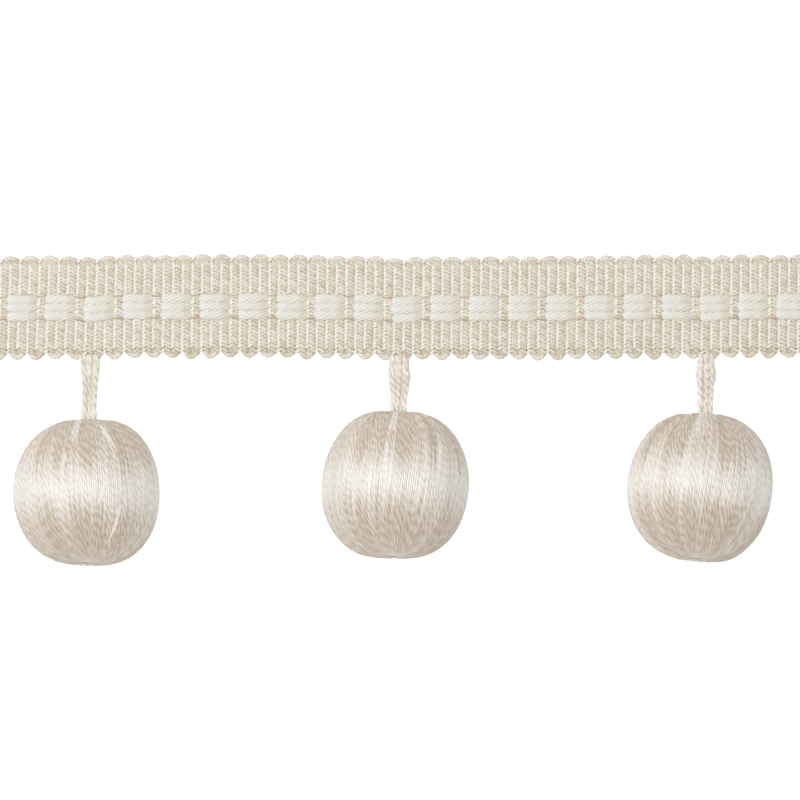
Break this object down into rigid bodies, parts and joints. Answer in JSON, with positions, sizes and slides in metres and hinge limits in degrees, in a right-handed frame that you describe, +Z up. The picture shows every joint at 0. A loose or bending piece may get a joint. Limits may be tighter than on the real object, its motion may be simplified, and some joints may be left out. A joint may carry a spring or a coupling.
{
  "type": "pompom fringe trim",
  "caption": "Cut length of ribbed braid with scalloped edges and raised woven floats, edged with thread-wound balls on short twisted hangers.",
  "frame": {"origin": "middle of the trim's box, on the surface that it lies on", "axes": "+X along the braid, +Y from the balls towards the braid, +Z up out of the braid's face"},
  "size_m": [0.1572, 0.0532, 0.0248],
  "materials": {
    "braid_yarn": "matt woven yarn",
    "hanger_yarn": "matt twisted yarn",
    "ball_thread": "satin wound thread"
  },
  "bodies": {
    "root": {"braid": "braid_yarn", "hanger_1": "hanger_yarn", "hanger_2": "hanger_yarn", "hanger_3": "hanger_yarn", "ball_1": "ball_thread", "ball_2": "ball_thread", "ball_3": "ball_thread"}
  },
  "joints": []
}
